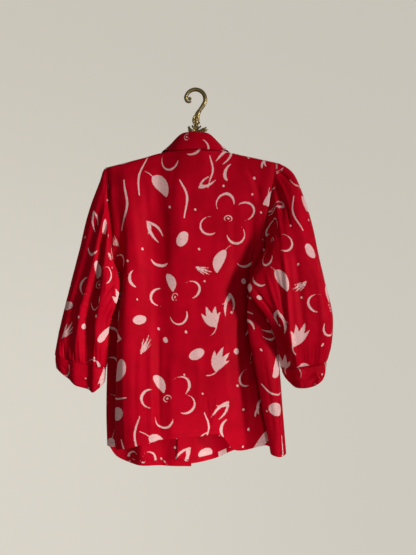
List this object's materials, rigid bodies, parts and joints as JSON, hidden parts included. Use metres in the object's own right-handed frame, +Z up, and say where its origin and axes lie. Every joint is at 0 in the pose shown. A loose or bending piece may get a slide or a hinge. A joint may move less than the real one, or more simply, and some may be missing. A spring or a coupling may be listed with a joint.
{
  "type": "blouse on a hanger",
  "caption": "Loose printed crepe blouse with collar, gathered sleeves, banded cuffs and buttoned front, hung back outward on a brass hanger with a scrolled hook.",
  "frame": {"origin": "seat of the hanger's hook: the inside top of its loop, where a nail or rail carries it", "axes": "+Z up; the blouse's back faces -Y and its buttoned front faces +Y; the wearer's left is -X"},
  "size_m": [0.612, 0.1184, 0.8439],
  "materials": {
    "cloth": "soft matt crepe, red with an off-white floral print",
    "button": "polished",
    "brass": "aged, satin"
  },
  "bodies": {
    "root": {"back": "cloth", "front_left": "cloth", "front_right": "cloth", "facing_left": "cloth", "sleeve_left": "cloth", "sleeve_right": "cloth", "cuff_left": "cloth", "cuff_right": "cloth", "collar": "cloth", "button_1": "button", "button_2": "button", "button_3": "button", "button_4": "button", "button_5": "button", "button_6": "button", "hanger_hook": "brass", "hanger_ball": "brass", "hanger_socket": "brass", "hanger_leaf_left": "brass", "hanger_leaf_right": "brass", "hanger_arms": "brass"}
  },
  "joints": []
}
